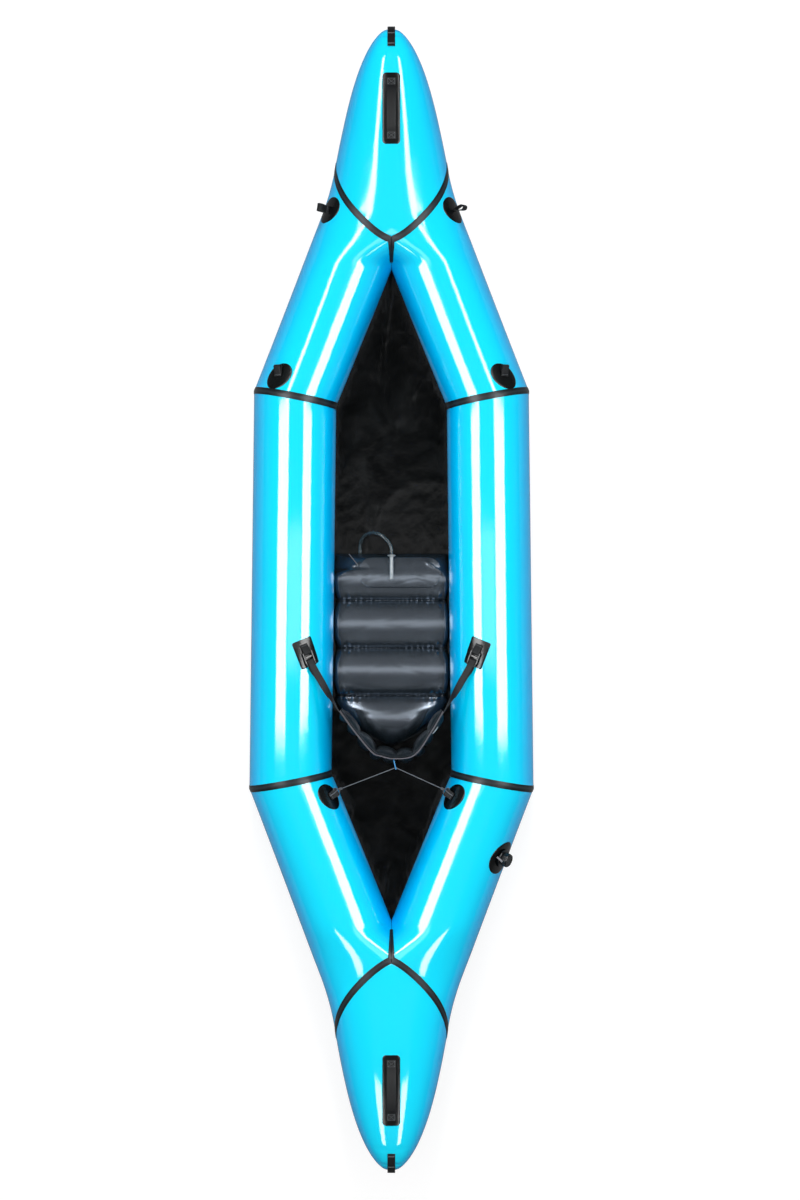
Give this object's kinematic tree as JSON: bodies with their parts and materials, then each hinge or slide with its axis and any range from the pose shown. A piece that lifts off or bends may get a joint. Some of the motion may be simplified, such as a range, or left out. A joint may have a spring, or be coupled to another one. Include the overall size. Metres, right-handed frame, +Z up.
{
  "type": "packraft",
  "caption": "Long inflatable packraft with pointed ends, inflated seat, strapped backrest, webbing handles and tie-down loops, and a screw-capped one-way valve.",
  "frame": {"origin": "on the ground under the middle of the boat", "axes": "+Y towards the bow, +X to starboard, +Z up"},
  "size_m": [0.9488, 3.7344, 0.4091],
  "materials": {
    "hull_fabric": "glossy coated nylon, cyan",
    "seam_tape": "satin coated nylon, charcoal",
    "floor_fabric": "glossy coated heavy nylon, black",
    "cushion_fabric": "satin coated nylon, dark grey",
    "webbing": "woven nylon webbing, black",
    "moulded_plastic": "moulded nylon, black",
    "grey_cord": "braided cord, grey",
    "blue_cord": "braided cord, blue",
    "clear_hose": "clear flexible tube with a blue tint",
    "white_plastic": "translucent white moulding",
    "spring_steel": "bright wire",
    "seal_rubber": "black rubber ring"
  },
  "bodies": {
    "boat": {"bow_nose": "hull_fabric", "stern_nose": "hull_fabric", "front_left_tube": "hull_fabric", "front_right_tube": "hull_fabric", "mid_left_tube": "hull_fabric", "mid_right_tube": "hull_fabric", "rear_left_tube": "hull_fabric", "rear_right_tube": "hull_fabric", "bow_nose_tape": "seam_tape", "stern_nose_tape": "seam_tape", "front_left_mitre_tape": "seam_tape", "front_right_mitre_tape": "seam_tape", "rear_left_mitre_tape": "seam_tape", "rear_right_mitre_tape": "seam_tape", "floor_middle": "floor_fabric", "floor_front": "floor_fabric", "floor_rear": "floor_fabric", "floor_edge_left": "floor_fabric", "floor_edge_right": "floor_fabric", "bow_handle_patch": "seam_tape", "bow_handle": "webbing", "stern_handle_patch": "seam_tape", "stern_handle": "webbing", "bow_tip_loop": "webbing", "stern_tip_loop": "webbing", "shoulder_disc_left": "seam_tape", "shoulder_disc_right": "seam_tape", "shoulder_loop_left": "webbing", "shoulder_loop_right": "webbing", "side_disc_left": "seam_tape", "side_disc_right": "seam_tape", "side_loop_left": "webbing", "side_loop_right": "webbing", "rear_disc_left": "seam_tape", "rear_disc_right": "seam_tape", "rear_loop_left": "webbing", "rear_loop_right": "webbing", "rear_cord": "grey_cord", "strap_patch_left": "seam_tape", "strap_patch_right": "seam_tape", "strap_loop_left": "webbing", "strap_loop_right": "webbing", "buckle_left": "moulded_plastic", "buckle_right": "moulded_plastic", "back_strap_left": "webbing", "back_strap_right": "webbing", "seat_cushion": "cushion_fabric", "seat_front_flap": "cushion_fabric", "seat_inflation_hose": "clear_hose", "seat_mouthpiece": "white_plastic", "seat_tie_cord": "grey_cord", "valve_patch": "seam_tape", "valve_body": "moulded_plastic", "valve_spring": "spring_steel"},
    "backrest": {"backrest": "cushion_fabric", "blue_cord_loop": "blue_cord"},
    "nozzle": {"seat_mouth_nozzle": "white_plastic"},
    "cap_seal": {"valve_seal": "seal_rubber"},
    "cap": {"valve_cap": "moulded_plastic"},
    "poppet": {"valve_poppet": "moulded_plastic"}
  },
  "joints": [
    {"name": "backrest_tilt", "type": "hinge", "parent": "boat", "child": "backrest", "pos_m": [0, -0.52, 0.0135], "axis": [1, 0, 0], "range_deg": [-8, 30], "deforming": ["back_strap_left", "back_strap_right", "rear_cord"]},
    {"name": "nozzle_twist", "type": "hinge", "parent": "boat", "child": "nozzle", "pos_m": [0, 0.1523, 0.1015], "axis": [0.003, -0.9943, 0.1069], "range_deg": [0, 180]},
    {"name": "cap_lift", "type": "slide", "parent": "boat", "child": "cap_seal", "axis": [0.8039, -0.3184, 0.5023], "range_m": [0, 0.0081]},
    {"name": "cap_turn", "type": "hinge", "parent": "cap_seal", "child": "cap", "pos_m": [0.3685, -0.85157, 0.22259], "axis": [0.8039, -0.3184, 0.5023], "range_deg": [0, 720]},
    {"name": "poppet_press", "type": "slide", "parent": "boat", "child": "poppet", "axis": [-0.8039, 0.3184, -0.5023], "range_m": [0, 0.004], "stiffness_N_per_m": 200, "springref_m": -0.004, "deforming": ["valve_spring"]}
  ],
  "couplings": [
    {"joint": "cap_lift", "follows": "cap_turn", "m_per_rad": 0.00063662}
  ]
}
